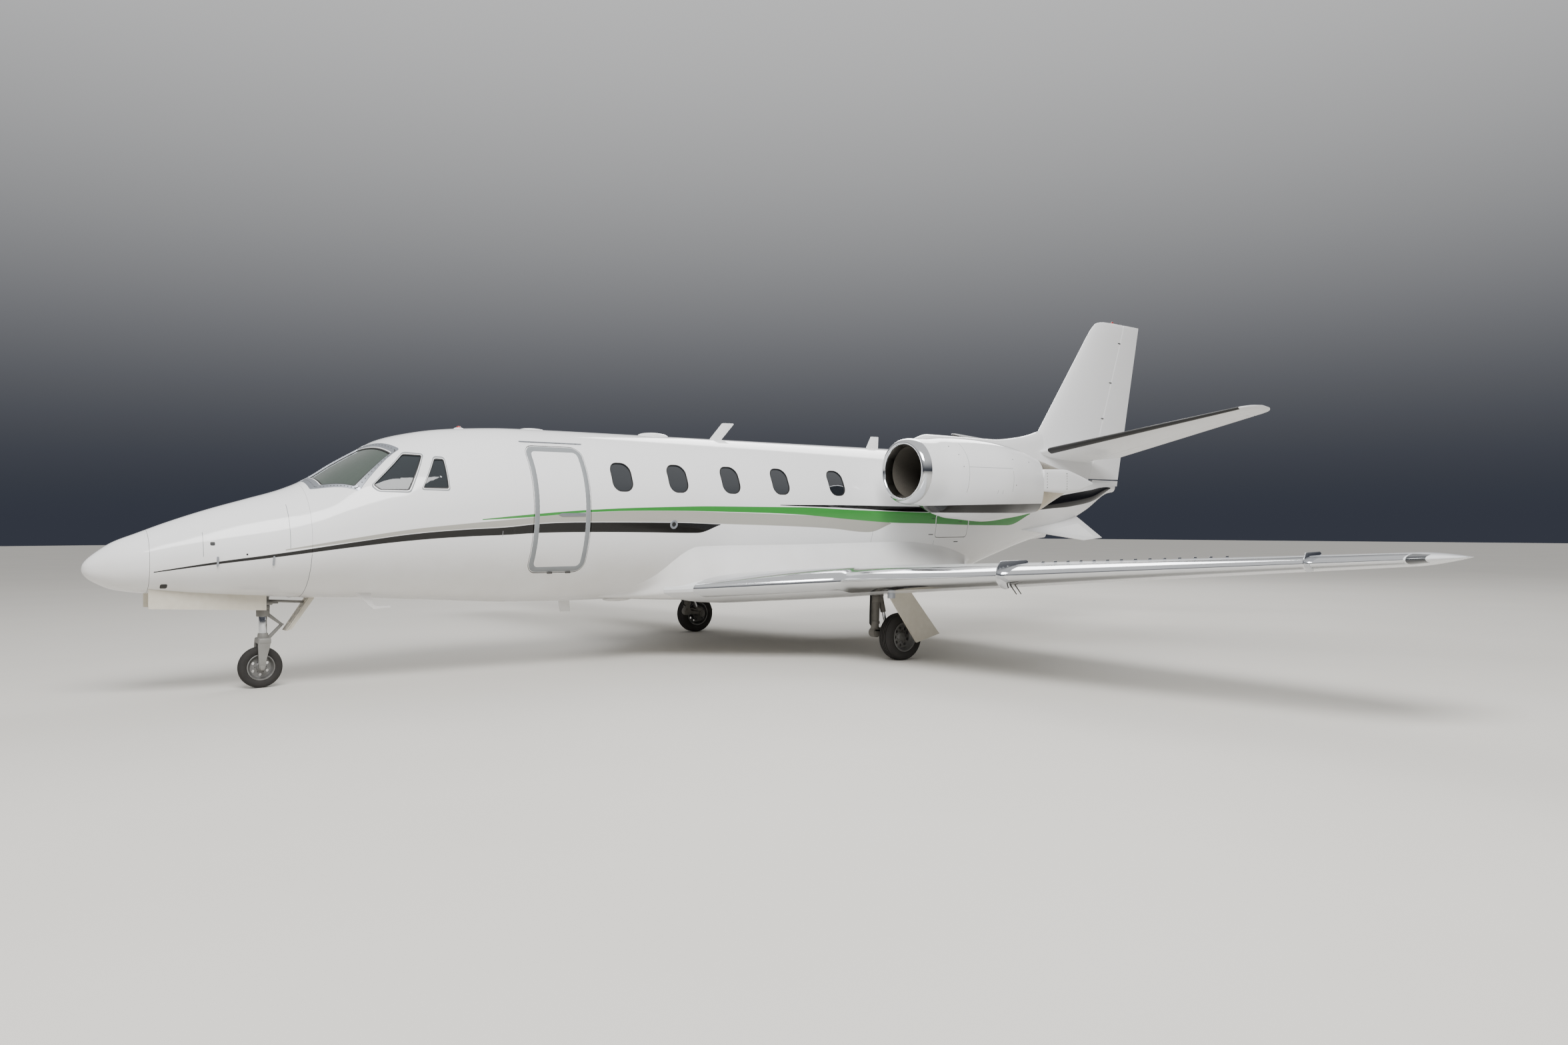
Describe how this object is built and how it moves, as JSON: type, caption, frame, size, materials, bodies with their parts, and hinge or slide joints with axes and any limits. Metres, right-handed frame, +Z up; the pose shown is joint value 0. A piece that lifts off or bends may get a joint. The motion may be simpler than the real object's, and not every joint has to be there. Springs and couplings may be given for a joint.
{
  "type": "business jet",
  "caption": "Straight-wing business jet parked on its landing gear, with a hollow cabin, engines on pylons at the tail, an airstair door and hinged control surfaces.",
  "frame": {"origin": "on the ground under the middle of the aircraft: halfway between the nose tip and the aft end, on the centreline", "axes": "+X aft along the centreline, +Y to starboard along the span, +Z up"},
  "size_m": [16.193, 16.96, 5.175],
  "materials": {
    "white_paint": "gloss",
    "wing_skin": "satin",
    "composite": "gloss",
    "polished_metal": "polished",
    "engine_metal": "satin",
    "glass": "gloss",
    "tyre": "matte",
    "rim": "satin",
    "gear_paint": "satin",
    "leather": "matte",
    "panel_black": "matte",
    "floor": "matte"
  },
  "bodies": {
    "airframe": {"radome": "composite", "nose_section": "white_paint", "cockpit_shell": "white_paint", "cabin_shell": "white_paint", "tail_cone": "wing_skin", "belly_fairing": "wing_skin", "cockpit_glazing_left": "glass", "cockpit_glazing_right": "glass", "cabin_windows_left": "glass", "cabin_windows_right": "glass", "cabin_floor": "floor", "instrument_panel": "panel_black", "pilot_seat_left": "leather", "pilot_seat_right": "leather", "cabin_seats_left": "leather", "cabin_seats_right": "leather", "wing_left": "wing_skin", "wing_right": "wing_skin", "fin": "wing_skin", "stabiliser_left": "wing_skin", "stabiliser_right": "wing_skin", "strake_left": "composite", "strake_right": "composite", "inlet_lip_left": "polished_metal", "inlet_lip_right": "polished_metal", "nacelle_left": "composite", "nacelle_right": "composite", "engine_block_left": "engine_metal", "engine_block_right": "engine_metal", "reverser_left": "polished_metal", "reverser_right": "polished_metal", "pylon_left": "composite", "pylon_right": "composite", "nose_leg": "gear_paint", "nose_door_left": "white_paint", "nose_door_right": "white_paint", "main_leg_left": "gear_paint", "main_leg_right": "gear_paint", "main_gear_door_left": "white_paint", "main_gear_door_right": "white_paint"},
    "cabin_door": {"cabin_door": "wing_skin"},
    "baggage_door": {"baggage_door": "wing_skin"},
    "nose_fork": {"nose_fork": "gear_paint"},
    "nose_wheel": {"nose_tyre": "tyre", "nose_rim": "rim"},
    "main_wheel_left": {"main_left_tyre": "tyre", "main_left_rim": "rim"},
    "main_wheel_right": {"main_right_tyre": "tyre", "main_right_rim": "rim"},
    "fan_left": {"fan_left": "engine_metal"},
    "fan_right": {"fan_right": "engine_metal"},
    "rudder": {"rudder": "wing_skin"},
    "elevator_left": {"elevator_left": "wing_skin"},
    "elevator_right": {"elevator_right": "wing_skin"},
    "aileron_left": {"aileron_left": "wing_skin"},
    "aileron_right": {"aileron_right": "wing_skin"},
    "flap_left": {"flap_left": "wing_skin"},
    "flap_right": {"flap_right": "wing_skin"}
  },
  "joints": [
    {"name": "nose_steering", "type": "hinge", "parent": "airframe", "child": "nose_fork", "pos_m": [-6.5515, 0, 0.6], "axis": [0, 0, 1], "range_deg": [-95, 95]},
    {"name": "nose_wheel_spin", "type": "hinge", "parent": "nose_fork", "child": "nose_wheel", "pos_m": [-6.5775, 0, 0.206], "axis": [0, 1, 0], "continuous": true},
    {"name": "main_wheel_left_spin", "type": "hinge", "parent": "airframe", "child": "main_wheel_left", "pos_m": [0.0385, -2.284, 0.2795], "axis": [0, 1, 0], "continuous": true},
    {"name": "main_wheel_right_spin", "type": "hinge", "parent": "airframe", "child": "main_wheel_right", "pos_m": [0.0385, 2.284, 0.2795], "axis": [0, 1, 0], "continuous": true},
    {"name": "fan_left_spin", "type": "hinge", "parent": "airframe", "child": "fan_left", "pos_m": [1.4835, -1.55, 2.316], "axis": [1, 0, 0], "continuous": true},
    {"name": "fan_right_spin", "type": "hinge", "parent": "airframe", "child": "fan_right", "pos_m": [1.4835, 1.55, 2.316], "axis": [1, 0, 0], "continuous": true},
    {"name": "cabin_door_hinge", "type": "hinge", "parent": "airframe", "child": "cabin_door", "pos_m": [-3.6915, -0.716, 1.095], "axis": [1, 0, 0], "range_deg": [0, 133]},
    {"name": "baggage_door_hinge", "type": "hinge", "parent": "airframe", "child": "baggage_door", "pos_m": [2.0035, -0.8785, 1.43], "axis": [0.9992, 0.0408, 0], "range_deg": [0, 110]},
    {"name": "rudder_hinge", "type": "hinge", "parent": "airframe", "child": "rudder", "pos_m": [6.5315, 0, 2.3], "axis": [0.3588, 0, 0.9334], "range_deg": [-25, 25]},
    {"name": "elevator_left_hinge", "type": "hinge", "parent": "airframe", "child": "elevator_left", "pos_m": [6.4393, -0.23, 2.7685], "axis": [-0.1283, 0.9711, -0.2012], "range_deg": [-20, 15]},
    {"name": "elevator_right_hinge", "type": "hinge", "parent": "airframe", "child": "elevator_right", "pos_m": [6.4393, 0.23, 2.7685], "axis": [0.1283, 0.9711, 0.2012], "range_deg": [-20, 15]},
    {"name": "aileron_left_hinge", "type": "hinge", "parent": "airframe", "child": "aileron_left", "pos_m": [0.6738, -5.23, 1.1473], "axis": [0.0829, 0.9945, -0.0639], "range_deg": [-18, 18]},
    {"name": "aileron_right_hinge", "type": "hinge", "parent": "airframe", "child": "aileron_right", "pos_m": [0.6738, 5.23, 1.1473], "axis": [-0.0829, 0.9945, 0.0639], "range_deg": [-18, 18]},
    {"name": "flap_left_hinge", "type": "hinge", "parent": "airframe", "child": "flap_left", "pos_m": [0.8005, -1.268, 0.7656], "axis": [0.0286, 0.9967, -0.0761], "range_deg": [0, 35]},
    {"name": "flap_right_hinge", "type": "hinge", "parent": "airframe", "child": "flap_right", "pos_m": [0.8005, 1.268, 0.7656], "axis": [-0.0286, 0.9967, 0.0761], "range_deg": [0, 35]}
  ],
  "couplings": [
    {"joint": "elevator_right_hinge", "follows": "elevator_left_hinge", "ratio": 1},
    {"joint": "aileron_right_hinge", "follows": "aileron_left_hinge", "ratio": -1},
    {"joint": "flap_right_hinge", "follows": "flap_left_hinge", "ratio": 1}
  ]
}
